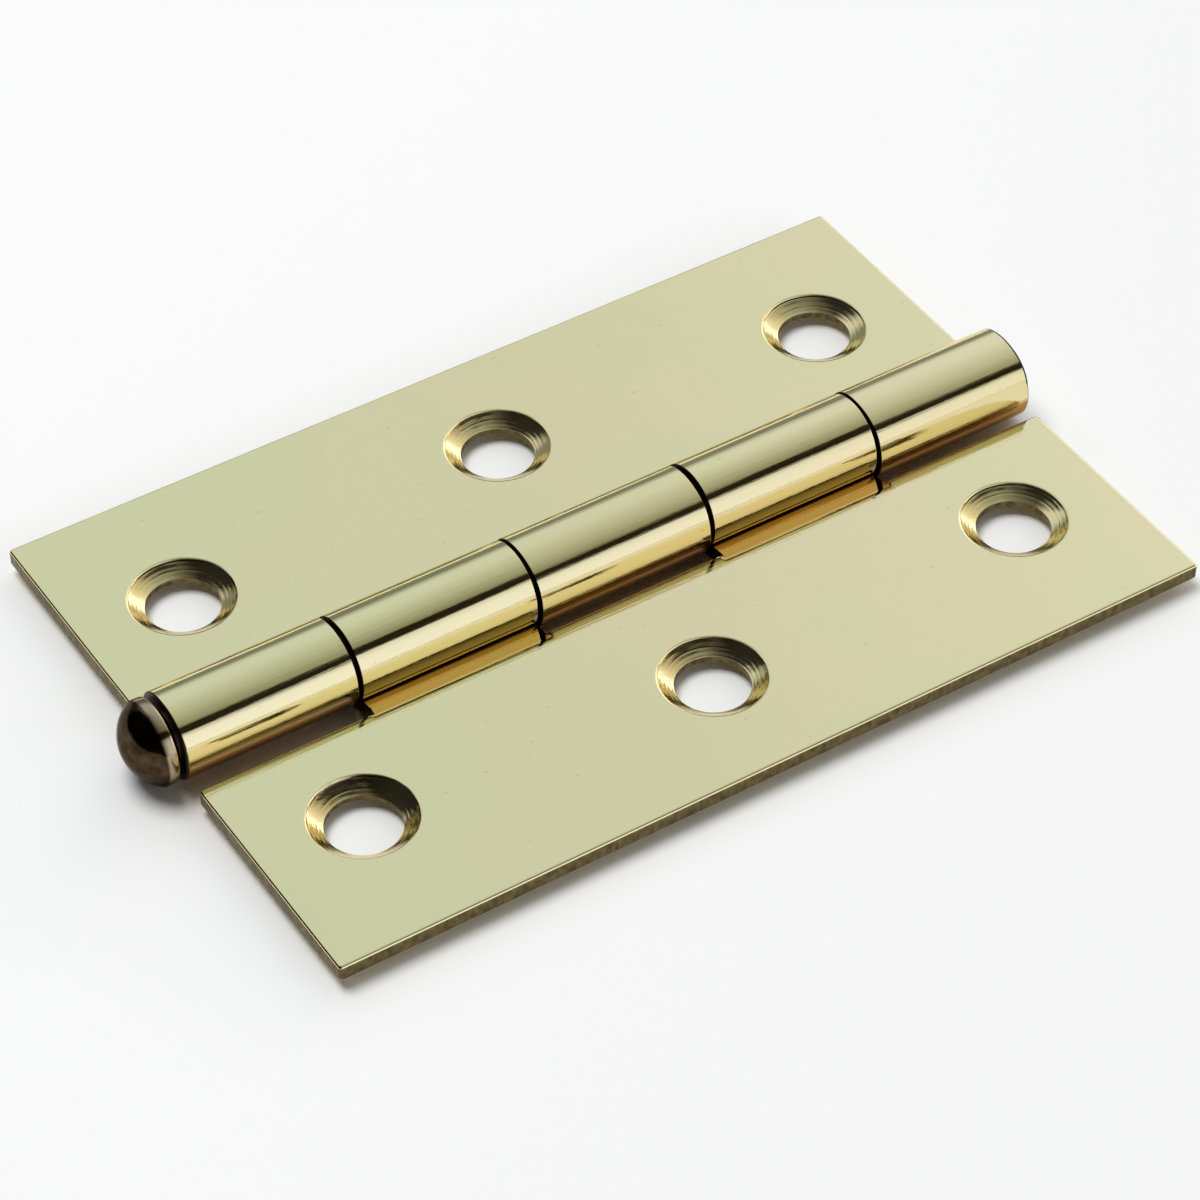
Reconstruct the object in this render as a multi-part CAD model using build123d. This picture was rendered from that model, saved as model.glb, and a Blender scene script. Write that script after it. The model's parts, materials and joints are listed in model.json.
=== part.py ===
from build123d import *
import os
from math import acos, atan2, degrees, hypot, isclose

# A loose-pin butt hinge: two pressed steel leaves, each with its edge rolled into
# knuckles that interleave round one removable pin with a domed head.
# Millimetres. X runs along the pin with the head at -X, Z is up, and the leaves lie
# open and flat: the rear leaf towards +Y, the front leaf towards -Y.
# The pieces are drawn with the leaves' undersides at Z 0 and X 0 at their middle, and
# are then moved so that the origin is under the pin, on the surface that the barrel
# lies on, halfway along the whole hinge with the pin's head.

# Driving dimensions of the leaves
leaf_length = 75.0
leaf_width = 25.0              # pin axis to outer edge
sheet_thickness = 1.4
leaf_corner_radius = 0.3
edge_break = 0.2               # top edges of the sheet, rolled over by the press

# Driving dimensions of the barrel
pin_diameter = 4.1
pin_clearance = 0.05           # running fit, on the radius
closed_gap = 2.6               # between the two leaves when they are shut
bend_start = 5.6               # from here the sheet slopes down to the barrel's underside
bend_radius = 3.0
seam_gap = 0.08                # between the end of the roll and the sheet below it
inner_knuckle_extra = 1.0      # the three inner knuckles are longer than the end ones
knuckle_gap = 0.3              # end play between neighbouring knuckles
knuckle_end_break = 0.25
notch_reach = 4.65             # pin axis to the bottom of a notch
head_notch_reach = 4.9         # the same, for the front leaf's notch at the pin's head
notch_corner_radius = 0.8

# Driving dimensions of the screw holes
screw_hole_diameter = 5.8
countersink_diameter = 8.5
countersink_land = 0.3         # straight wall left below the countersink
hole_end_margin = 8.7          # outer holes, from the ends of the leaf
hole_edge_margin = 9.9         # middle hole, from the outer edge of the leaf
hole_stagger = 1.7             # outer holes stand this much nearer to the barrel

# Driving dimensions of the pin's head and tip
head_step = 0.1                # head stands this much inside the barrel's surface
head_gap = 0.4                 # pin is not quite pushed home
head_rim = 1.0
head_dome = 2.0
head_edge_round = 0.3
tip_setback = 0.6              # tip stays inside the last knuckle
tip_taper = 0.8

# Sizes that follow from them
half_length = leaf_length / 2
pin_radius = pin_diameter / 2
bore_radius = pin_radius + pin_clearance
barrel_radius = bore_radius + sheet_thickness
notch_room = notch_reach - barrel_radius - knuckle_end_break
notch_corner = min(notch_corner_radius, notch_room)
axis_height = sheet_thickness + closed_gap / 2
bend_depth = axis_height + bend_radius
slope_cosine = (barrel_radius + bend_radius) / hypot(bend_start, bend_depth)
slope_angle = degrees(atan2(bend_start, bend_depth) - acos(slope_cosine))
end_knuckle = (leaf_length - 3 * inner_knuckle_extra) / 5
inner_knuckle = end_knuckle + inner_knuckle_extra
knuckle_edges = [-half_length + end_knuckle + step * inner_knuckle for step in range(4)]
knuckle_edges = [-half_length] + knuckle_edges + [half_length]
middle_hole_reach = leaf_width - hole_edge_margin
outer_hole_reach = middle_hole_reach - hole_stagger
outer_hole_place = half_length - hole_end_margin
hole_places = [
    (-outer_hole_place, outer_hole_reach),
    (0, middle_hole_reach),
    (outer_hole_place, outer_hole_reach),
]


def rolled_section():
    """The sheet in cross-section: flat leaf, slope down to the barrel, and the roll round the pin."""
    axis = (0, axis_height)
    bend_centre = (bend_start, -bend_radius)
    seam_turn = degrees(acos((bore_radius - seam_gap) / barrel_radius))
    roll_sweep = 360 - seam_turn
    roll_start = slope_angle - 90
    roll_end = roll_start - roll_sweep
    with BuildSketch(Plane.YZ) as section:
        with BuildLine():
            Line((leaf_width, 0), (bend_start, 0))
            lower_bend = CenterArc(bend_centre, bend_radius, 90, slope_angle)
            outside = CenterArc(axis, barrel_radius, roll_start, -roll_sweep)
            inside = CenterArc(axis, bore_radius, roll_end, roll_sweep)
            upper_bend = CenterArc(bend_centre, bend_radius + sheet_thickness, 90 + slope_angle, -slope_angle)
            Line(lower_bend @ 1, outside @ 0)
            Line(outside @ 1, inside @ 0)
            Line(inside @ 1, upper_bend @ 0)
            Line((bend_start, sheet_thickness), (leaf_width, sheet_thickness))
            Line((leaf_width, sheet_thickness), (leaf_width, 0))
        make_face()
    return section.sketch


def notch(knuckle):
    """Cut-out that clears the other leaf's knuckle.

    Knuckle 4 is cut out of the front leaf alone, and lies at the pin's head once that leaf is turned round.
    """
    run_out = 2 * notch_corner
    left = knuckle_edges[knuckle] - (run_out if knuckle == 0 else knuckle_gap / 2)
    right = knuckle_edges[knuckle + 1] + (run_out if knuckle == 4 else knuckle_gap / 2)
    inner = -2 * barrel_radius
    outer = head_notch_reach if knuckle == 4 else notch_reach
    with BuildPart() as cut:
        with BuildSketch(Plane.XY.offset(-2 * barrel_radius)):
            with Locations(((left + right) / 2, (inner + outer) / 2)):
                Rectangle(right - left, outer - inner)
            corners = [corner for corner in vertices() if corner.Y > 0]
            fillet(corners, notch_corner)
        extrude(amount=6 * barrel_radius)
    return cut.part


def screw_hole():
    """Countersunk hole, set out on its own axis from the sheet's underside."""
    through = Cylinder(screw_hole_diameter / 2, 3 * sheet_thickness)
    flare = Cone(
        screw_hole_diameter / 2,
        countersink_diameter / 2,
        sheet_thickness - countersink_land,
        align=(Align.CENTER, Align.CENTER, Align.MIN),
    )
    return through + Pos(0, 0, countersink_land) * flare


def leaf_corners(body):
    """Upright corners at the two ends of the leaf."""
    return [edge for edge in body.edges().filter_by(Axis.Z) if isclose(abs(edge.center().X), half_length)]


def knuckle_ends(body):
    """Round outer edges of the knuckles."""
    return [edge for edge in body.edges().filter_by(GeomType.CIRCLE) if isclose(edge.radius, barrel_radius)]


def top_rim(body):
    """Top edges of the sheet, along its outer edge and along the bottoms of the notches."""
    reaches = [leaf_width, notch_reach, head_notch_reach]
    return [
        edge for edge in body.edges().filter_by(Axis.X)
        if edge.center().Z > sheet_thickness / 2 and any(isclose(edge.center().Y, reach) for reach in reaches)
    ]


def leaf(other_knuckles):
    """One leaf towards +Y, notched where the other leaf's knuckles turn."""
    body = extrude(rolled_section(), half_length, both=True)
    for knuckle in other_knuckles:
        body -= notch(knuckle)
    body = fillet(leaf_corners(body), leaf_corner_radius)
    body = chamfer(knuckle_ends(body), knuckle_end_break)
    body = chamfer(top_rim(body), edge_break)
    for place_x, place_y in hole_places:
        body -= Pos(place_x, place_y, 0) * screw_hole()
    return body


def hinge_pin():
    """Turned pin: straight shank with a tapered tip and a domed head."""
    shoulder = -half_length - head_gap
    rim = shoulder - head_rim
    crown = rim - head_dome
    tip = half_length - tip_setback
    head_radius = barrel_radius - head_step
    dome_radius = (head_radius**2 + head_dome**2) / (2 * head_dome)
    profile_plane = Plane((0, 0, axis_height), x_dir=(1, 0, 0), z_dir=(0, -1, 0))
    with BuildPart() as pin:
        with BuildSketch(profile_plane):
            with BuildLine():
                RadiusArc((crown, 0), (rim, head_radius), dome_radius)
                Polyline(
                    (rim, head_radius),
                    (shoulder, head_radius),
                    (shoulder, pin_radius),
                    (tip - tip_taper, pin_radius),
                    (tip, pin_radius - tip_taper / 2),
                    (tip, 0),
                    (crown, 0),
                )
            make_face()
            rim_corners = [corner for corner in vertices() if corner.Z > axis_height + bore_radius]
            fillet(rim_corners, head_edge_round)
        revolve(axis=Axis((0, 0, axis_height), (1, 0, 0)))
    return pin.part


rear_knuckles = [0, 2, 4]
front_knuckles = [1, 3]
head_length = head_gap + head_rim + head_dome
to_origin = Pos(head_length / 2, 0, barrel_radius - axis_height)
pieces = {
    "rear_leaf": leaf(front_knuckles),
    "front_leaf": Rot(0, 0, 180) * leaf(rear_knuckles),
    "hinge_pin": hinge_pin(),
}

os.makedirs("parts", exist_ok=True)
for name, piece in pieces.items():
    placed = to_origin * piece
    placed.label = name
    export_step(placed, f"parts/{name}.step")
    print(name, "volume", round(placed.volume, 1))
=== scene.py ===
import json
from math import acos, asin, atan2, cos, hypot, pi, radians, sin, sqrt, tan

import bmesh
import bpy
from mathutils import Matrix, Vector, noise


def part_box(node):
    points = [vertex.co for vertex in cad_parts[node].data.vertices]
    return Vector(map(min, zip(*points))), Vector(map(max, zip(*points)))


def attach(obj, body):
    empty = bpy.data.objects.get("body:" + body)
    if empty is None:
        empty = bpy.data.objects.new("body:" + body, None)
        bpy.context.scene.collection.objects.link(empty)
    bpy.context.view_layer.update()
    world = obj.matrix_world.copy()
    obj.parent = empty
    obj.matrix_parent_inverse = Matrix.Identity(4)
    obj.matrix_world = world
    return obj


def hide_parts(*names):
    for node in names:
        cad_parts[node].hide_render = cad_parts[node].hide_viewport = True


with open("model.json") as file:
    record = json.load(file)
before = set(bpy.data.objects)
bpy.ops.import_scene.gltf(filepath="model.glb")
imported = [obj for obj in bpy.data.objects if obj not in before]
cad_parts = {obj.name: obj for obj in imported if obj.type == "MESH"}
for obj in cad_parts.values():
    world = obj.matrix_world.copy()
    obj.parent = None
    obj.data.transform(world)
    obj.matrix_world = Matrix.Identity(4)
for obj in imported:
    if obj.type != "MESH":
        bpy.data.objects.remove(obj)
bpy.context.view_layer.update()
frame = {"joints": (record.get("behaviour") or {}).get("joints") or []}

# Rear leaf.
# One blank of mild steel sheet, sheared to length, with three tongues rolled round the pin
# to make knuckles one, three and five, then drilled, countersunk and bright brass-plated.

mm = 0.001
rear_low, rear_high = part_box("rear_leaf")
leaf_left = rear_low.x
leaf_right = rear_high.x
leaf_middle = (leaf_left + leaf_right) / 2
leaf_reach = rear_high.y
pin_height = frame["joints"][0]["pos_m"][2]
barrel_radius = pin_height
sheet_thickness = 1.4 * mm
leaf_underside = 0.8 * mm
leaf_top = leaf_underside + sheet_thickness

bore_radius = barrel_radius - sheet_thickness
bend_start = 5.6 * mm
bend_radius = 3.0 * mm
bend_depth = pin_height - leaf_underside + bend_radius
slope_cosine = (barrel_radius + bend_radius) / hypot(bend_start, bend_depth)
slope_angle = atan2(bend_start, bend_depth) - acos(slope_cosine)
bend_end = bend_start - bend_radius * sin(slope_angle)
seam_gap = 0.08 * mm
roll_angle = 2 * pi - acos((bore_radius - seam_gap) / barrel_radius)
roll_steps = 120

end_knuckle = 14.4 * mm
inner_knuckle = 15.4 * mm
knuckle_gap = 0.3 * mm
knuckle_edges = [leaf_left]
for knuckle_length in (end_knuckle, inner_knuckle, inner_knuckle, inner_knuckle, end_knuckle):
    knuckle_edges.append(knuckle_edges[-1] + knuckle_length)
last_knuckle = len(knuckle_edges) - 2
notch_reach = 4.65 * mm
head_notch_reach = 4.9 * mm
notch_corner_radius = 0.25 * mm
leaf_corner_radius = 0.3 * mm
corner_segments = 6
edge_round = 0.24 * mm
edge_segments = 5
sharp_angle = radians(50)      # edges that turn further than this get rounded
knuckle_end_share = 0.45       # of the edge's rounding, where two knuckles meet
upright_height = 0.9 * sheet_thickness
near = 0.01 * mm


def deselect_all():
    if bpy.context.mode != "OBJECT":
        bpy.ops.object.mode_set(mode="OBJECT")
    bpy.ops.object.select_all(action="DESELECT")


def apply_modifier(piece, kind, **settings):
    modifier = piece.modifiers.new(kind.lower(), kind)
    for name, value in settings.items():
        setattr(modifier, name, value)
    bpy.context.view_layer.objects.active = piece
    bpy.ops.object.modifier_apply(modifier=modifier.name)


def select_edges(piece, test):
    """Selects, in edit mode, the edges that pass the test and nothing else."""
    bpy.ops.mesh.select_mode(type="EDGE")
    bpy.ops.mesh.select_all(action="DESELECT")
    mesh = bmesh.from_edit_mesh(piece.data)
    for edge in mesh.edges:
        edge.select_set(test(edge.verts[0].co, edge.verts[1].co))
    bmesh.update_edit_mesh(piece.data)


def select_faces(piece, test):
    """Selects, in edit mode, the faces whose middles pass the test and nothing else."""
    bpy.ops.mesh.select_mode(type="FACE")
    bpy.ops.mesh.select_all(action="DESELECT")
    mesh = bmesh.from_edit_mesh(piece.data)
    for face in mesh.faces:
        face.select_set(test(face.calc_center_median()))
    bmesh.update_edit_mesh(piece.data)


def tongue_sides(knuckle):
    """The two sides of the tongue that is rolled into this knuckle."""
    left = knuckle_edges[knuckle] + (0 if knuckle == 0 else knuckle_gap / 2)
    right = knuckle_edges[knuckle + 1] - (0 if knuckle == last_knuckle else knuckle_gap / 2)
    return left, right


def slope_dip(reach):
    """How far the sheet has sloped down at this distance from the pin's axis."""
    if reach > bend_start:
        return 0
    if reach > bend_end:
        return bend_radius - sqrt(bend_radius**2 - (bend_start - reach)**2)
    return bend_radius * (1 - cos(slope_angle)) + (bend_end - reach) * tan(slope_angle)


root_dip = slope_dip(notch_reach)


def roll_tongues(leaf, tongues):
    """Draws each tongue down its slope and round the pin, one root dip too high for now."""
    for left, right in tongues:
        for side in (left, right):
            bpy.ops.mesh.select_all(action="SELECT")
            bpy.ops.mesh.bisect(plane_co=(side, 0, 0), plane_no=(1, 0, 0))

    def tongue_root(start, end):
        middle = (start + end) / 2
        return abs(middle.y - notch_reach) < near and any(left < middle.x < right for left, right in tongues)

    select_edges(leaf, tongue_root)
    roll_centre = pin_height + root_dip
    across = barrel_radius * sin(slope_angle) - notch_reach
    down = roll_centre - barrel_radius * cos(slope_angle) - leaf_underside
    bpy.ops.mesh.extrude_region_move(TRANSFORM_OT_translate={"value": (0, across, down)})
    bpy.ops.mesh.spin(steps=roll_steps, angle=roll_angle, center=(0, 0, roll_centre), axis=(1, 0, 0))


def deepen_end_notch(leaf, tongues):
    """Cuts the notch at the right end further back, where no tongue is rolled there."""
    last_side = tongues[-1][1]
    if last_side > leaf_right - near:
        return
    select_faces(leaf, lambda middle: middle.x > last_side)
    bpy.ops.mesh.bisect(plane_co=(0, head_notch_reach, 0), plane_no=(0, 1, 0))
    select_faces(leaf, lambda middle: middle.x > last_side and middle.y < head_notch_reach)
    bpy.ops.mesh.delete(type="FACE")


def corner_places(tongues):
    """Where the notches' corners and the leaf's own corners stand, as two lists of places."""
    sides = [side for tongue in tongues for side in tongue if leaf_left + near < side < leaf_right - near]
    notch_corners = [(side, notch_reach) for side in sides]
    leaf_corners = [(leaf_left, leaf_reach), (leaf_right, leaf_reach)]
    if tongues[0][0] > leaf_left + near:
        leaf_corners.append((leaf_left, notch_reach))
        leaf_corners.append((leaf_right, head_notch_reach))
        notch_corners[-1] = (sides[-1], head_notch_reach)
    return notch_corners, leaf_corners


def round_corners(leaf, tongues):
    """Rounds the corners that stand upright through the sheet."""
    notch_corners, leaf_corners = corner_places(tongues)
    for places, radius in ((notch_corners, notch_corner_radius), (leaf_corners, leaf_corner_radius)):

        def stands_there(start, end):
            foot = min(start, end, key=lambda point: point.z)
            upright = abs(start.z - end.z) > upright_height
            return upright and any(hypot(foot.x - x, foot.y - y) < near for x, y in places)

        select_edges(leaf, stands_there)
        bpy.ops.mesh.bevel(offset=radius, segments=corner_segments, affect="EDGES")


shoulder_width = 0.4 * mm      # of sheet beside a tongue that is drawn down with it
shoulder_steps = 4
bend_steps = 6


def slope_share(along, tongue):
    """One on the tongue, falling smoothly to nothing across the shoulders beside it."""
    outside = max(tongue[0] - along, along - tongue[1], 0) / shoulder_width
    return 0.5 + 0.5 * cos(pi * min(outside, 1))


def lower_slopes(leaf, tongues):
    """Lets the sheet down to each tongue's root; beside the tongue the slope dies out in the flat sheet."""
    cuts = []
    for step in range(1, bend_steps + 1):
        reach = notch_reach + (bend_start - notch_reach) * step / bend_steps
        cuts.append(((0, reach, 0), (0, 1, 0)))
    for left, right in tongues:
        for step in range(1, shoulder_steps + 1):
            offset = shoulder_width * step / shoulder_steps
            cuts.append(((left - offset, 0, 0), (1, 0, 0)))
            cuts.append(((right + offset, 0, 0), (1, 0, 0)))
    bpy.ops.object.mode_set(mode="EDIT")
    for place, normal in cuts:
        bpy.ops.mesh.select_all(action="SELECT")
        bpy.ops.mesh.bisect(plane_co=place, plane_no=normal)
    bpy.ops.object.mode_set(mode="OBJECT")
    for point in leaf.data.vertices:
        share = max(slope_share(point.co.x, tongue) for tongue in tongues)
        point.co.z -= share * slope_dip(max(point.co.y, notch_reach))


# Half of the depth that each knuckle is pressed in, below zero for a bulge, in its two lobes.
low_lobes = [0, 0.08 * mm, -0.13 * mm, 0.08 * mm, -0.16 * mm]
top_lobes = [0.08 * mm, 0.03 * mm, 0.12 * mm, 0.03 * mm, 0.14 * mm]
lobe_turn = radians(120)
skin_depth = 0.6 * mm


def press_lobes(leaf):
    """Leaves the outside of the roll slightly lobed, as the closing die does."""
    for point in leaf.data.vertices:
        across, up = point.co.y, point.co.z - pin_height
        reach = hypot(across, up)
        turn = (slope_angle - pi / 2 - atan2(up, across)) % (2 * pi)
        if barrel_radius - skin_depth < reach < barrel_radius + near and turn < 2 * lobe_turn:
            knuckle = sum(point.co.x > edge for edge in knuckle_edges[1:-1])
            depths = low_lobes if turn < lobe_turn else top_lobes
            pressed = depths[knuckle] * (1 - cos(2 * pi * turn / lobe_turn))
            point.co.y -= pressed * across / reach
            point.co.z = max(point.co.z - pressed * up / reach, rear_low.z)


def weigh_edges(leaf):
    """Marks the sharp edges for rounding: less where two knuckles meet than elsewhere."""
    mesh = bmesh.new()
    mesh.from_mesh(leaf.data)
    weight = mesh.edges.layers.float.new("bevel_weight_edge")
    for edge in mesh.edges:
        if edge.calc_face_angle(0) > sharp_angle:
            on_sheet = min(point.co.y for point in edge.verts) > notch_reach - notch_corner_radius - near
            at_end = all(not leaf_left + near < point.co.x < leaf_right - near for point in edge.verts)
            edge[weight] = 1 if on_sheet or at_end else knuckle_end_share
    mesh.to_mesh(leaf.data)
    mesh.free()


def flat_blank(name):
    """The flat of a leaf, from the bottoms of its notches to its outer edge, still without thickness."""
    deselect_all()
    blank_middle = (leaf_middle, (notch_reach + leaf_reach) / 2, leaf_underside)
    bpy.ops.mesh.primitive_plane_add(size=1, location=blank_middle)
    blank = bpy.context.object
    blank.name = name
    blank.scale = (leaf_right - leaf_left, leaf_reach - notch_reach, 1)
    bpy.ops.object.transform_apply(location=True, rotation=True, scale=True)
    return blank


def rolled_leaf(name, knuckles):
    """A leaf towards +Y with these knuckles, still without its screw holes."""
    leaf = flat_blank(name)
    tongues = [tongue_sides(knuckle) for knuckle in knuckles]
    bpy.ops.object.mode_set(mode="EDIT")
    roll_tongues(leaf, tongues)
    deepen_end_notch(leaf, tongues)
    bpy.ops.mesh.select_all(action="SELECT")
    bpy.ops.mesh.remove_doubles(threshold=near)
    bpy.ops.mesh.normals_make_consistent(inside=False)
    bpy.ops.object.mode_set(mode="OBJECT")
    apply_modifier(leaf, "SOLIDIFY", thickness=sheet_thickness, offset=1, use_even_offset=True)
    bpy.ops.object.mode_set(mode="EDIT")
    round_corners(leaf, tongues)
    bpy.ops.object.mode_set(mode="OBJECT")
    weigh_edges(leaf)
    apply_modifier(leaf, "BEVEL", width=edge_round, segments=edge_segments, limit_method="WEIGHT",
                   use_clamp_overlap=False)
    lower_slopes(leaf, tongues)
    press_lobes(leaf)
    return leaf


rear_leaf = rolled_leaf("rear_leaf_sheet", [0, 2, 4])


hole_radius = 2.9 * mm
cutter_sides = 96
cutter_overrun = 1.0 * mm
cutter_flare = 3.0 * mm
ring_widths = (0.46 * mm, 0.18 * mm, 0.34 * mm, 0.20 * mm)
ring_leans = (radians(1.4), radians(3.6), radians(2.0), radians(3.0))
rim_rises = (0.04 * mm, 0.03 * mm, 0.02 * mm)
rim_growths = (0.03 * mm, 0.06 * mm, 0.08 * mm)
chatter_foot = 0.3 * mm
chatter_depth = 0.02 * mm
chatter_length = 0.7 * mm
hole_edge_margin = 9.9 * mm
hole_stagger = 1.7 * mm
hole_end_margin = 8.7 * mm
middle_hole_reach = leaf_reach - hole_edge_margin
outer_hole_reach = middle_hole_reach - hole_stagger
hole_places = [
    (leaf_left + hole_end_margin, outer_hole_reach),
    (leaf_middle, middle_hole_reach),
    (leaf_right - hole_end_margin, outer_hole_reach),
]
# Slopes of each hole's countersink, at its land and at its rim.
rear_cutters = [(radians(32), radians(40)), (radians(31), radians(38)), (radians(30), radians(38))]


def turned_solid(name, rings, sides):
    """A closed solid turned about Z, drawn up ring by ring from (height, radius) pairs."""
    deselect_all()
    base_height, base_radius = rings[0]
    bpy.ops.mesh.primitive_circle_add(
        vertices=sides, radius=base_radius, fill_type="NGON", location=(0, 0, base_height))
    solid = bpy.context.object
    solid.name = name
    bpy.ops.object.transform_apply(location=True, rotation=True, scale=True)
    bpy.ops.object.mode_set(mode="EDIT")
    bpy.ops.mesh.select_mode(type="FACE")
    bpy.ops.mesh.select_all(action="SELECT")
    for (low, inner), (high, outer) in zip(rings, rings[1:]):
        bpy.ops.mesh.extrude_region_move(TRANSFORM_OT_translate={"value": (0, 0, high - low)})
        growth = outer / inner
        bpy.ops.transform.resize(value=(growth, growth, 1), center_override=(0, 0, high))
    bpy.ops.mesh.select_all(action="SELECT")
    bpy.ops.mesh.normals_make_consistent(inside=False)
    bpy.ops.object.mode_set(mode="OBJECT")
    return solid


def cut_away(piece, cutter):
    apply_modifier(piece, "BOOLEAN", operation="DIFFERENCE", solver="EXACT", object=cutter)
    bpy.data.objects.remove(cutter)


def countersink_profile(inner_slope, outer_slope, first_ring):
    """Cutter from below the sheet to above it: straight land, uneven rings and a broken rim.

    The rings have the same widths in every hole, but each hole starts with another of them.
    """
    ring_count = len(ring_widths)
    growths = []
    for step in range(ring_count):
        ring = (first_ring + step) % ring_count
        growth = ring_widths[ring] / 2
        slope = inner_slope + (outer_slope - inner_slope) * step / (ring_count - 1)
        growths.append((growth * tan(slope - ring_leans[ring]), growth))
        growths.append((growth * tan(slope + ring_leans[ring]), growth))
    growths += list(zip(rim_rises, rim_growths))
    land_top = leaf_top - sum(rise for rise, growth in growths)
    profile = [(leaf_underside - cutter_overrun, hole_radius), (land_top, hole_radius)]
    for rise, growth in growths:
        height, radius = profile[-1]
        profile.append((height + rise, radius + growth))
    height, radius = profile[-1]
    profile.append((height + cutter_overrun, radius + cutter_flare))
    return profile


def chatter(cutter, seed):
    """Lets the cutter waver a little, in and out, from above its foot to the sheet's top."""
    for point in cutter.data.vertices:
        if leaf_underside + chatter_foot < point.co.z < leaf_top + cutter_overrun / 2:
            waver = noise.noise(point.co / chatter_length + Vector((0, 0, seed)))
            point.co += Vector((point.co.x, point.co.y, 0)).normalized() * chatter_depth * waver


def drill_holes(leaf, cutters, leaf_seed):
    """Drills the three holes and cuts their countersinks, each with its own slopes and chatter."""
    for number, (place_x, place_y) in enumerate(hole_places):
        inner_slope, outer_slope = cutters[number]
        profile = countersink_profile(inner_slope, outer_slope, number)
        cutter = turned_solid("countersink", profile, cutter_sides)
        chatter(cutter, leaf_seed + number)
        cutter.data.transform(Matrix.Translation((place_x, place_y, 0)))
        cut_away(leaf, cutter)


drill_holes(rear_leaf, rear_cutters, leaf_seed=10)

plating_green = (0.810, 0.720, 0.390, 1)
plating_cream = (0.845, 0.715, 0.402, 1)
plating_rim = (0.93, 0.89, 0.76, 1)
sheet_roughness = (0.05, 0.09)
cutter_roughness = (0.11, 0.17)
# Painted shade: a brown tone multiplied into the rear leaf's plating low on the front of its barrel, between
# these heights and reaches across the pin.
barrel_painted_shade_tone = (0.52, 0.29, 0.13, 1)
barrel_painted_shade_heights = (3.35 * mm, 2.85 * mm)
barrel_painted_shade_reaches = (-0.5 * mm, -1.5 * mm)
# Painted shade: a brown tone multiplied into the plating of the web, darkest down its slope below these
# heights.
web_painted_shade_tone = (0.60, 0.47, 0.26, 1)
web_painted_shade_heights = (2.197 * mm, 2.15 * mm)
mottle_size = (16 * mm, 16 * mm, 16 * mm)
streak_size = (14 * mm, 0.22 * mm, 0.22 * mm)
peel_size = (1.3 * mm, 1.3 * mm, 1.3 * mm)
grain_size = (0.6 * mm, 0.15 * mm, 0.15 * mm)
scuff_size = (0.9 * mm, 0.25 * mm, 0.25 * mm)
scuff_limits = (0.70, 0.78)
scuff_tone = (0.80, 0.77, 0.72, 1)
# Strength and depth of each bump.
streak_bump = (1.0, 0.006 * mm)
peel_bump = (1.0, 0.003 * mm)
grain_bump = (1.0, 0.0025 * mm)


def add_node(tree, kind, options=None, sockets=None):
    """Adds a node with these options, its sockets set to values or linked to other nodes' outputs."""
    node = tree.nodes.new(kind)
    for name, value in (options or {}).items():
        setattr(node, name, value)
    for name, value in (sockets or {}).items():
        if isinstance(value, bpy.types.NodeSocket):
            tree.links.new(value, node.inputs[name])
        else:
            node.inputs[name].default_value = value
    return node


def start_material(name):
    """A new metal material: its node tree, its shader and its Object coordinates."""
    material = bpy.data.materials.new(name)
    material.use_nodes = True
    tree = material.node_tree
    shader = tree.nodes["Principled BSDF"]
    shader.inputs["Metallic"].default_value = 1
    place = tree.nodes.new("ShaderNodeTexCoord").outputs["Object"]
    return material, tree, shader, place


def soft_noise(tree, place, sizes, detail=2.0):
    """Noise whose patches have these sizes along X, Y and Z."""
    scale = tuple(1 / size for size in sizes)
    scaled = add_node(tree, "ShaderNodeMapping", sockets={"Vector": place, "Scale": scale})
    patches = add_node(
        tree, "ShaderNodeTexNoise", sockets={"Vector": scaled.outputs[0], "Scale": 1.0, "Detail": detail})
    return patches.outputs[0]


def spread(tree, value, low, high, start=0.35, end=0.65):
    """Maps a value that runs from start to end, such as noise, so that it runs from low to high."""
    ranged = add_node(
        tree, "ShaderNodeMapRange",
        sockets={"Value": value, "From Min": start, "From Max": end, "To Min": low, "To Max": high})
    return ranged.outputs[0]


def blend_colours(tree, share, first, second, how="MIX"):
    mixed = add_node(
        tree, "ShaderNodeMix", {"data_type": "RGBA", "blend_type": how},
        {0: share, 6: first, 7: second})
    return mixed.outputs[2]


def add_bump(tree, shader, layers):
    """Stacks bump layers, each a height with its strength and its depth in metres."""
    normal = None
    for height, strength, depth in layers:
        bump = add_node(
            tree, "ShaderNodeBump", sockets={"Height": height, "Strength": strength, "Distance": depth})
        if normal:
            tree.links.new(normal, bump.inputs["Normal"])
        normal = bump.outputs[0]
    tree.links.new(normal, shader.inputs["Normal"])


def low_share(tree, place, heights, reaches=None):
    """Grows to one as the height, and the place across the pin if given, run through these ranges."""
    parts = add_node(tree, "ShaderNodeSeparateXYZ", sockets={0: place})
    low = spread(tree, parts.outputs["Z"], 0, 1, *heights)
    if not reaches:
        return low
    across = spread(tree, parts.outputs["Y"], 0, 1, *reaches)
    both = add_node(tree, "ShaderNodeMath", {"operation": "MULTIPLY"}, {0: low, 1: across})
    return both.outputs[0]


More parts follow.
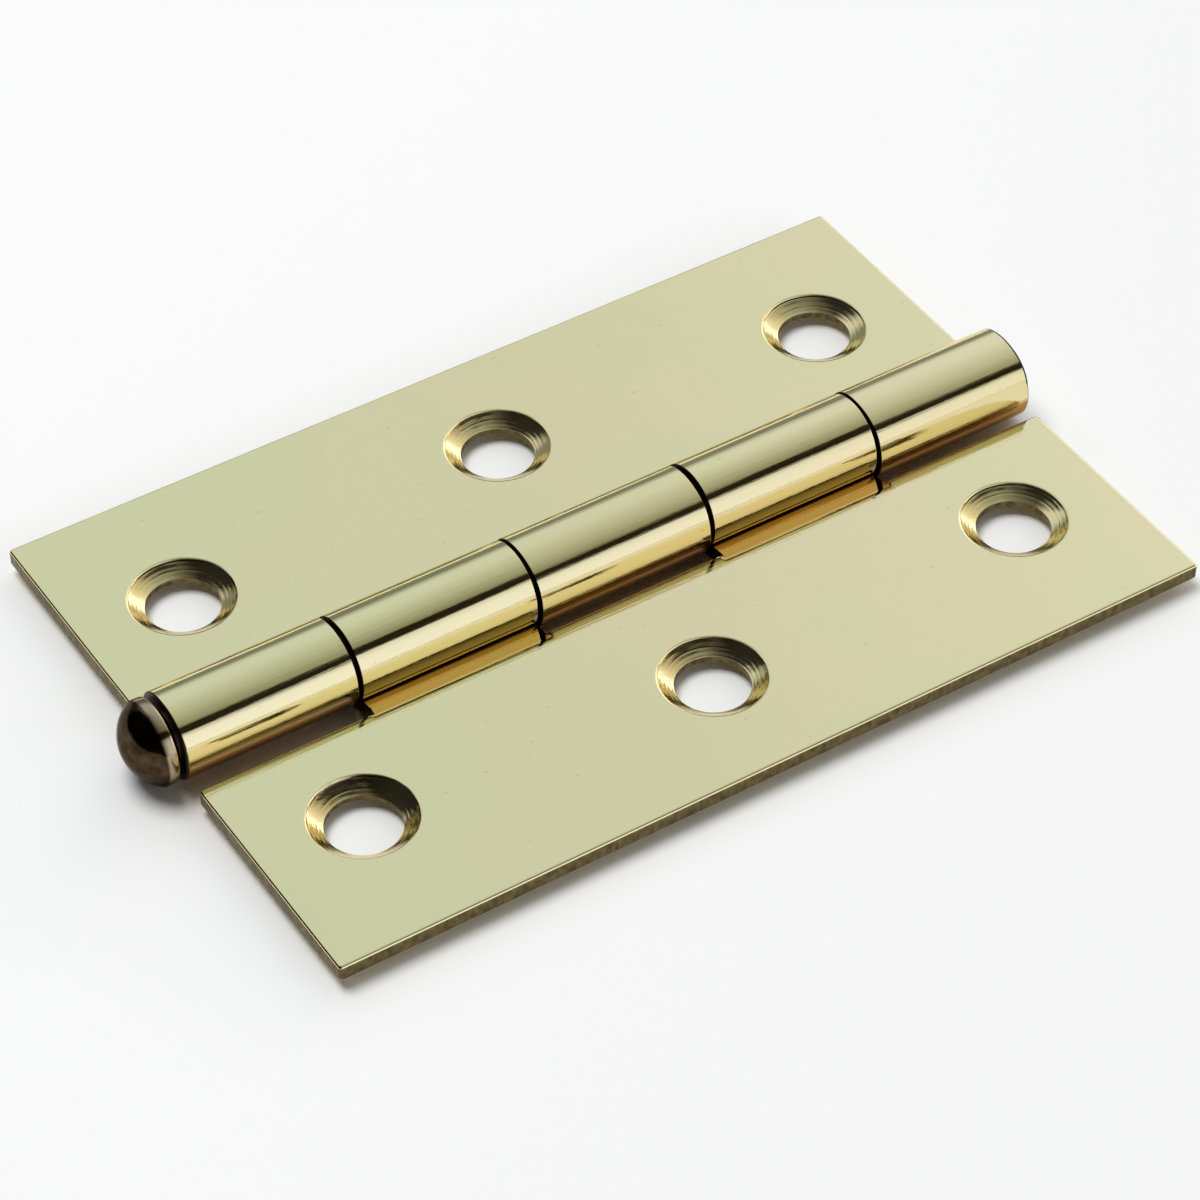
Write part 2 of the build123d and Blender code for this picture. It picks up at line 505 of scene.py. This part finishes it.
def bright_plating(name, roughness, painted_shade_part=None):
    """Bright brass plate with patches of tint, streaks along the roll and a few scuffs.

    A painted shade part, where there is one, is a brown tone of painted shade with the ranges of height and
    reach that it fills.
    """
    material, tree, shader, place = start_material(name)
    patches = soft_noise(tree, place, mottle_size)
    streaks = soft_noise(tree, place, streak_size)
    peel = soft_noise(tree, place, peel_size)
    grain = soft_noise(tree, place, grain_size)
    tint = blend_colours(tree, spread(tree, patches, 0, 1), plating_green, plating_cream)
    scuffs = spread(tree, soft_noise(tree, place, scuff_size, detail=3.0), 0, 1, *scuff_limits)
    tint = blend_colours(tree, scuffs, tint, scuff_tone, "MULTIPLY")
    if painted_shade_part:
        tone, *ranges = painted_shade_part
        # Painted shade: the brown tone is multiplied in where the height and reach mask grows to one.
        tint = blend_colours(tree, low_share(tree, place, *ranges), tint, tone, "MULTIPLY")
    tree.links.new(tint, shader.inputs["Base Color"])
    shader.inputs["Specular Tint"].default_value = plating_rim
    tree.links.new(spread(tree, streaks, *roughness), shader.inputs["Roughness"])
    add_bump(tree, shader, [(streaks, *streak_bump), (peel, *peel_bump), (grain, *grain_bump)])
    return material


edge_dark = (0.085, 0.062, 0.024, 1)
edge_light = (0.200, 0.150, 0.062, 1)
end_dark = (0.020, 0.014, 0.006, 1)
end_light = (0.060, 0.044, 0.018, 1)
edge_roughness = 0.42
shear_mark_size = (0.5 * mm, 0.5 * mm, 0.8 * mm)
shear_bump = (0.6, 0.02 * mm)


def sheared_edge(name, dark, light):
    """Edge of the sheet where the shear cut it: thin, dull plating in uneven patches."""
    material, tree, shader, place = start_material(name)
    marks = soft_noise(tree, place, shear_mark_size, detail=4.0)
    tone = blend_colours(tree, spread(tree, marks, 0, 1), dark, light)
    tree.links.new(tone, shader.inputs["Base Color"])
    shader.inputs["Roughness"].default_value = edge_roughness
    add_bump(tree, shader, [(marks, *shear_bump)])
    return material


# Painted shade low on the barrel's front, and painted shade down the web.
barrel_painted_shade = (barrel_painted_shade_tone, barrel_painted_shade_heights, barrel_painted_shade_reaches)
web_painted_shade = (web_painted_shade_tone, web_painted_shade_heights)
# The rear leaf's plating carries painted shade low on the front of its barrel.
rear_plating = bright_plating("rear_plating_bright", sheet_roughness, barrel_painted_shade)
# The web's plating carries painted shade down its slope towards the barrel.
web_plating = bright_plating("web_plating_painted_shade", sheet_roughness, web_painted_shade)
hole_plating = bright_plating("hole_plating_turned", cutter_roughness)
leaf_edge = sheared_edge("leaf_edge_sheared", edge_dark, edge_light)
knuckle_edge = sheared_edge("knuckle_edge_sheared", end_dark, end_light)
# Places of the finishes in a leaf's list of materials.
sheet_finish, edge_finish, knuckle_finish, hole_finish, web_finish = range(5)
countersink_reach = 4.6 * mm
notch_edge = head_notch_reach + edge_round
# Limits on a face normal's part along X or Z, which tell the finishes apart.
upright_limit = 0.4
free_end_limit = 0.12
bored_limit = 0.2
flat_limit = 0.95
leaf_smooth_angle = radians(20)


def near_hole(place, holes):
    return any(hypot(place.x - hole_x, place.y - hole_y) < countersink_reach for hole_x, hole_y in holes)


def face_finish(face, holes):
    """Which finish this face of a leaf has."""
    normal = face.normal
    from_pin = hypot(face.center.y, face.center.z - pin_height)
    free_end = face.center.x > leaf_right - edge_round - near
    end_limit = free_end_limit if free_end else upright_limit
    if from_pin < barrel_radius and abs(normal.x) > end_limit:
        return knuckle_finish
    if near_hole(face.center, holes):
        if abs(normal.z) < bored_limit:
            return edge_finish
        return hole_finish if normal.z < flat_limit else sheet_finish
    outside = abs(face.center.y) > notch_edge
    cut_side = outside and abs(normal.z) < upright_limit
    tongue_side = not outside and abs(normal.x) > upright_limit
    if cut_side or tongue_side:
        return edge_finish
    dips = normal.z > upright_limit and face.center.z < leaf_top - near
    if dips and abs(face.center.y) < bend_start:
        return web_finish
    return sheet_finish


def sharpen_rings(leaf, holes):
    """Keeps the rings that the cutter left in the countersinks crisp."""
    points = leaf.data.vertices
    for edge in leaf.data.edges:
        start, end = (points[number].co for number in edge.vertices)
        level = abs(start.z - end.z) < near
        if level and start.z < leaf_top - near and near_hole(start, holes):
            edge.use_edge_sharp = True


def finish_leaf(leaf, plating, holes):
    """Gives the leaf its plating and its sheared edges, and shades it smooth."""
    for material in (plating, leaf_edge, knuckle_edge, hole_plating, web_plating):
        leaf.data.materials.append(material)
    for face in leaf.data.polygons:
        face.material_index = face_finish(face, holes)
    deselect_all()
    leaf.select_set(True)
    bpy.context.view_layer.objects.active = leaf
    bpy.ops.object.shade_smooth_by_angle(angle=leaf_smooth_angle)
    sharpen_rings(leaf, holes)
    apply_modifier(leaf, "WEIGHTED_NORMAL", keep_sharp=True)


finish_leaf(rear_leaf, rear_plating, hole_places)
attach(rear_leaf, "rear leaf")
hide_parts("rear_leaf")

# Front leaf.
# The same sheet and tools, with two tongues for knuckles two and four; it is turned round
# to face the rear leaf, and its knuckles drop into the gaps between the other three.

front_cutters = [(radians(30), radians(37)), (radians(31), radians(38)), (radians(34), radians(42))]
front_leaf = rolled_leaf("front_leaf_sheet", [1, 3])
drill_holes(front_leaf, front_cutters, leaf_seed=20)
half_turn = Matrix.Rotation(pi, 4, "Z")
to_front = Matrix.Translation((leaf_middle, 0, 0)) @ half_turn @ Matrix.Translation((-leaf_middle, 0, 0))
front_leaf.data.transform(to_front)
front_plating = bright_plating("front_plating_bright", sheet_roughness)
front_holes = [(2 * leaf_middle - hole_x, -hole_y) for hole_x, hole_y in hole_places]
finish_leaf(front_leaf, front_plating, front_holes)
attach(front_leaf, "front leaf")
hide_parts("front_leaf")

# Hinge pin.
# A straight steel pin with an upset domed head, plated with the leaves but darker; it is
# pushed in from the left end and stays a hair short of home.

pin_low, pin_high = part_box("hinge_pin")
pin_radius = 2.05 * mm
head_step = 0.1 * mm
head_radius = barrel_radius - head_step
head_rim = 1.0 * mm
head_dome = 2.0 * mm
head_edge_round = 0.3 * mm
tip_taper = 0.8 * mm
pin_sides = 96
dome_steps = 16
round_steps = 4


def pin_profile():
    """The pin from its crown to its tip, as (distance from the crown, radius) pairs."""
    dome_radius = (head_radius**2 + head_dome**2) / (2 * head_dome)
    dome_angle = asin(head_radius / dome_radius)
    profile = []
    for step in range(1, dome_steps + 1):
        angle = dome_angle * step / dome_steps
        profile.append((dome_radius * (1 - cos(angle)), dome_radius * sin(angle)))
    shoulder = head_dome + head_rim
    for step in range(round_steps + 1):
        angle = pi / 2 * step / round_steps
        profile.append((shoulder - head_edge_round * (1 - sin(angle)),
                        head_radius - head_edge_round * (1 - cos(angle))))
    tip = pin_high.x - pin_low.x
    profile.append((shoulder, pin_radius))
    profile.append((tip - tip_taper, pin_radius))
    profile.append((tip, pin_radius - tip_taper / 2))
    return profile


hinge_pin = turned_solid("hinge_pin_turned", pin_profile(), pin_sides)
lay_along_pin = Matrix.Rotation(pi / 2, 4, "Y")
hinge_pin.data.transform(Matrix.Translation((pin_low.x, 0, pin_height)) @ lay_along_pin)

pin_brown = (0.032, 0.020, 0.011, 1)
pin_pale = (0.088, 0.060, 0.034, 1)
pin_rim = (0.43, 0.34, 0.215, 1)
pin_gloss = (0.62, 0.60, 0.57, 1)
rim_start = pin_low.x + head_dome
rim_blend = (-0.05 * mm, 0.15 * mm)
rim_places = [rim_start + offset for offset in rim_blend]
pin_patch_size = (0.9 * mm, 0.9 * mm, 0.9 * mm)
pin_roughness = (0.07, 0.16)
pin_bump = (0.25, 0.03 * mm)
pin_smooth_angle = radians(35)


def dark_pin_plating(name):
    """Plating on the pin, dark brown in patches on the dome and paler on the rim past it."""
    material, tree, shader, place = start_material(name)
    patches = soft_noise(tree, place, pin_patch_size, detail=4.0)
    dome = blend_colours(tree, spread(tree, patches, 0, 1), pin_brown, pin_pale)
    parts = add_node(tree, "ShaderNodeSeparateXYZ", sockets={0: place})
    past_dome = spread(tree, parts.outputs["X"], 0, 1, *rim_places)
    tone = blend_colours(tree, past_dome, dome, pin_rim)
    tree.links.new(tone, shader.inputs["Base Color"])
    shader.inputs["Specular Tint"].default_value = pin_gloss
    tree.links.new(spread(tree, patches, *pin_roughness), shader.inputs["Roughness"])
    add_bump(tree, shader, [(patches, *pin_bump)])
    return material


hinge_pin.data.materials.append(dark_pin_plating("pin_plating_dark"))
deselect_all()
hinge_pin.select_set(True)
bpy.context.view_layer.objects.active = hinge_pin
bpy.ops.object.shade_smooth_by_angle(angle=pin_smooth_angle)
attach(hinge_pin, "pin")
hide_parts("hinge_pin")

# Studio.
# A pale floor in a tent of long soft panels that run beside the hinge. The tent is dark round the
# camera and to its left and bright to the right, and a soft lamp hangs over the hinge.

floor_size = 4.0
floor_drop = 0.02 * mm
floor_colour = (0.96, 0.95, 0.94, 1)
deselect_all()
bpy.ops.mesh.primitive_plane_add(size=floor_size, location=(0, 0, -floor_drop))
floor = bpy.context.object
floor.name = "studio_floor"
bpy.ops.object.transform_apply(location=True, rotation=True, scale=True)
floor_material = bpy.data.materials.new("floor_paper")
floor_material.use_nodes = True
floor_shader = floor_material.node_tree.nodes["Principled BSDF"]
floor_shader.inputs["Base Color"].default_value = floor_colour
floor_shader.inputs["Roughness"].default_value = 1.0
floor_shader.inputs["Specular IOR Level"].default_value = 0.0
floor.data.materials.append(floor_material)

# Colours by the lean from upright, in degrees: behind the hinge below zero, in front above it.
tent_panels = [
    (-100, (0.50, 0.50, 0.50)),
    (-92, (0.32, 0.31, 0.28)),
    (-73, (0.32, 0.31, 0.28)),
    (-60, (0.92, 0.93, 0.92)),
    (-53, (1.00, 1.00, 1.00)),
    (-36, (0.985, 0.985, 0.985)),
    (-30, (0.965, 0.945, 0.90)),
    (0, (0.72, 0.70, 0.60)),
    (19, (0.51, 0.48, 0.375)),
    (27, (0.42, 0.385, 0.29)),
    (32, (0.03, 0.021, 0.010)),
    (46, (0.03, 0.021, 0.010)),
    (50, (0.80, 0.77, 0.76)),
    (54, (1.22, 1.16, 1.13)),
    (62, (1.42, 1.36, 1.36)),
    (90, (1.50, 1.42, 1.42)),
    (100, (0.50, 0.50, 0.50)),
]
panel_peak = 1.5
# Colours along the hinge, from its left end at -1 to its right end at 1.
dim_left = [
    (-1.00, (0.02, 0.02, 0.02)),
    (-0.45, (0.03, 0.03, 0.03)),
    (-0.15, (0.28, 0.29, 0.31)),
    (0.10, (0.58, 0.66, 0.72)),
]
cool_right = [
    (0.28, (0.70, 0.856, 0.956)),
    (0.39, (0.756, 0.846, 0.965)),
    (0.50, (0.84, 0.94, 1.10)),
]
back_ends = [
    (-1.00, (0.02, 0.02, 0.02)),
    (-0.48, (0.02, 0.02, 0.02)),
    (-0.32, (0.80, 0.84, 0.86)),
    (0.10, (0.74, 0.85, 0.92)),
    *cool_right,
    (0.70, (1.52, 1.52, 1.56)),
    (0.95, (2.10, 2.00, 1.95)),
]
top_ends = [
    *dim_left,
    *cool_right,
    (0.70, (1.05, 1.05, 1.08)),
    (0.95, (1.25, 1.20, 1.18)),
]
front_ends = [
    *dim_left,
    (0.28, (0.745, 0.835, 1.02)),
    (0.40, (0.72, 0.79, 0.945)),
    (0.50, (0.66, 0.73, 0.78)),
    (0.70, (1.05, 1.05, 1.07)),
    (0.95, (1.52, 1.47, 1.46)),
]
end_peak = 2.2
# Leans where the colours behind give way to those on top, and those to the ones in front.
top_start = -38
top_end = -18
front_start = 36
front_end = 42


def light_ramp(tree, place, stops, low, high, peak):
    """A colour ramp that runs from low to high, with its colours scaled so that peak is one."""
    ramp = add_node(tree, "ShaderNodeValToRGB", sockets={0: spread(tree, place, 0, 1, low, high)})
    elements = ramp.color_ramp.elements
    elements.remove(elements[1])
    for number, (at, colour) in enumerate(stops):
        position = (at - low) / (high - low)
        element = elements[0] if number == 0 else elements.new(position)
        element.position = position
        element.color = tuple(channel / peak for channel in colour) + (1,)
    return ramp.outputs["Color"]


world = bpy.data.worlds.new("light_tent")
bpy.context.scene.world = world
world.use_nodes = True
tent = world.node_tree
direction = add_node(tent, "ShaderNodeTexCoord").outputs["Generated"]
parts = add_node(tent, "ShaderNodeSeparateXYZ", sockets={0: direction})
towards_front = add_node(tent, "ShaderNodeMath", {"operation": "MULTIPLY"}, {0: parts.outputs["Y"], 1: -1.0})
lean = add_node(
    tent, "ShaderNodeMath", {"operation": "ARCTAN2"}, {0: towards_front.outputs[0], 1: parts.outputs["Z"]})
lean_degrees = add_node(tent, "ShaderNodeMath", {"operation": "DEGREES"}, {0: lean.outputs[0]}).outputs[0]
panels = light_ramp(tent, lean_degrees, tent_panels, -180, 180, panel_peak)
behind = light_ramp(tent, parts.outputs["X"], back_ends, -1, 1, end_peak)
above = light_ramp(tent, parts.outputs["X"], top_ends, -1, 1, end_peak)
before = light_ramp(tent, parts.outputs["X"], front_ends, -1, 1, end_peak)
on_top = spread(tent, lean_degrees, 0, 1, top_start, top_end)
in_front = spread(tent, lean_degrees, 0, 1, front_start, front_end)
ends = blend_colours(tent, in_front, blend_colours(tent, on_top, behind, above), before)
background = tent.nodes["Background"]
tent.links.new(blend_colours(tent, 1.0, panels, ends, "MULTIPLY"), background.inputs["Color"])
background.inputs["Strength"].default_value = panel_peak * end_peak

lamp_direction = Vector((-0.15, 0.25, 0.95)).normalized()
lamp_distance = 1.2
lamp_size = 0.7
lamp_power = 9.3
lamp_data = bpy.data.lights.new("overhead_lamp", "AREA")
lamp_data.shape = "DISK"
lamp_data.size = lamp_size
lamp_data.energy = lamp_power
lamp = bpy.data.objects.new("overhead_lamp", lamp_data)
bpy.context.scene.collection.objects.link(lamp)
lamp.visible_glossy = False    # the metal mirrors the tent alone
lamp.location = lamp_direction * lamp_distance
lamp.rotation_euler = (-lamp_direction).to_track_quat("-Z", "Y").to_euler()

# Camera.
# Stands in front and to the left, looking down at the hinge through a long lens.

camera_azimuth = radians(-32.65)
camera_elevation = radians(43.92)
camera_distance = 322.6 * mm
camera_lens = 128.4
sensor_width = 36.0
camera_target = Vector((-0.19 * mm, -2.63 * mm, 0.8 * mm))
camera_data = bpy.data.cameras.new("camera")
camera = bpy.data.objects.new("camera", camera_data)
bpy.context.scene.collection.objects.link(camera)
camera_data.lens = camera_lens
camera_data.sensor_width = sensor_width
camera_back = Vector((sin(camera_azimuth) * cos(camera_elevation),
                      -cos(camera_azimuth) * cos(camera_elevation), sin(camera_elevation)))
camera.location = camera_target + camera_back * camera_distance
camera.rotation_euler = (-camera_back).to_track_quat("-Z", "Y").to_euler()
camera_data.clip_start = 0.01
camera_data.clip_end = 20.0
bpy.context.scene.camera = camera

# View.
# The plain view.

bpy.context.scene.view_settings.view_transform = "Standard"
